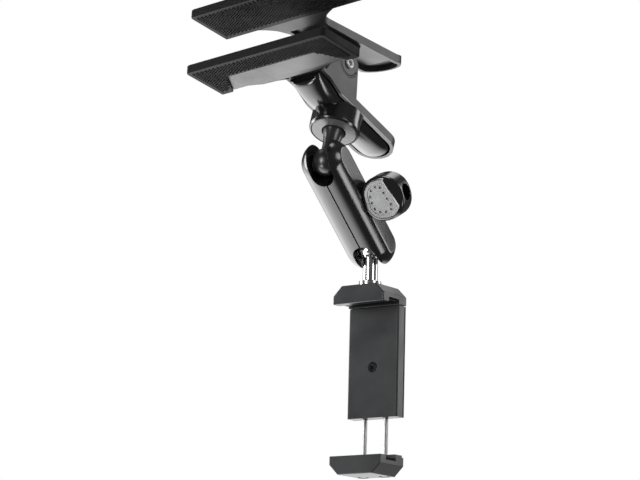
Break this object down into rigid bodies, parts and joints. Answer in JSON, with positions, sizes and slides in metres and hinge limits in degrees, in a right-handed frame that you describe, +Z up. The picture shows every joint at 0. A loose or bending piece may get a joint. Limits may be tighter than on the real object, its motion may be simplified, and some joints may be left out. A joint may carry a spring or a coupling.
{
  "type": "car phone mount",
  "caption": "Sun visor phone mount: a sprung rubber-faced clip, a double-ball arm tightened by a paddle knob, and a sprung clamp that grips a phone by its long edges.",
  "frame": {"origin": "middle of the lower jaw's grip face, where the sun visor rests", "axes": "+Z up through the phone clamp's stem, +X to the right along the phone's long side, +Y from the phone's glass towards its back"},
  "size_m": [0.0884, 0.118, 0.2305],
  "materials": {
    "gloss_black": "glossy black moulded plastic",
    "satin_black": "satin dark grey moulded plastic, finely grained",
    "satin_grey": "satin graphite moulded plastic",
    "light_grey": "satin light grey moulded plastic",
    "rubber": "matt black rubber with a fine diamond texture",
    "steel": "bright turned steel",
    "chrome": "polished chrome plate",
    "brass": "turned brass"
  },
  "bodies": {
    "visor_clip": {"lower_lever": "satin_black", "lower_jaw_boot": "rubber", "hinge_pin": "steel", "torsion_spring": "steel", "handle_cover": "gloss_black", "socket_collar": "light_grey", "friction_washer": "steel"},
    "upper_jaw": {"upper_lever": "satin_black", "upper_jaw_boot": "rubber"},
    "upper_stud": {"upper_ball_stud": "gloss_black"},
    "arm": {"arm_half_right": "gloss_black", "arm_half_left": "gloss_black", "arm_bolt": "steel", "arm_spring": "steel", "knob_washer": "light_grey"},
    "knob": {"knob": "gloss_black", "knob_insert": "brass", "knob_face_front": "light_grey", "knob_face_back": "light_grey"},
    "lower_stud": {"lower_ball_stud": "chrome"},
    "clamp": {"top_block": "satin_grey", "top_pad": "rubber", "housing": "satin_grey", "back_cover": "satin_black", "centre_screw": "steel", "cover_screw_1": "steel", "cover_screw_2": "steel", "cover_screw_3": "steel", "cover_screw_4": "steel", "return_spring_left": "steel", "return_spring_right": "steel"},
    "bottom_jaw": {"bottom_block": "satin_grey", "bottom_pad": "rubber", "guide_rod_left": "steel", "guide_rod_right": "steel", "rod_head_left": "steel", "rod_head_right": "steel", "rod_screw_left": "steel", "rod_screw_right": "steel"}
  },
  "joints": [
    {"name": "clip_hinge", "type": "hinge", "parent": "visor_clip", "child": "upper_jaw", "pos_m": [0.00104, 0.04801, 0.00587], "axis": [0.9963, -0.0313, 0.0802], "range_deg": [-30, 23], "stiffness_Nm_per_rad": 1.4, "deforming": ["torsion_spring"]},
    {"name": "stud_swivel", "type": "hinge", "parent": "visor_clip", "child": "upper_stud", "pos_m": [0.00371, 0.04786, -0.02743], "axis": [-0.0625, 0.3784, 0.9235], "continuous": true},
    {"name": "arm_tilt", "type": "hinge", "parent": "upper_stud", "child": "arm", "pos_m": [0.00485, 0.04097, -0.04424], "axis": [0.9877, 0.1003, 0.1201], "range_deg": [-120, 10]},
    {"name": "knob_turn", "type": "hinge", "parent": "arm", "child": "knob", "pos_m": [0.00499, 0.06072, -0.06191], "axis": [0.9877, 0.1003, 0.1201], "continuous": true},
    {"name": "lower_tilt", "type": "hinge", "parent": "arm", "child": "lower_stud", "pos_m": [0.00514, 0.08047, -0.07958], "axis": [0.9877, 0.1003, 0.1201], "range_deg": [-50, 90]},
    {"name": "clamp_swivel", "type": "hinge", "parent": "lower_stud", "child": "clamp", "pos_m": [0.00514, 0.08047, -0.09758], "axis": [0, 0, 1], "continuous": true},
    {"name": "jaw_slide", "type": "slide", "parent": "clamp", "child": "bottom_jaw", "axis": [0, 0, -1], "range_m": [-0.018, 0.014], "stiffness_N_per_m": 150, "deforming": ["return_spring_left", "return_spring_right"]}
  ]
}
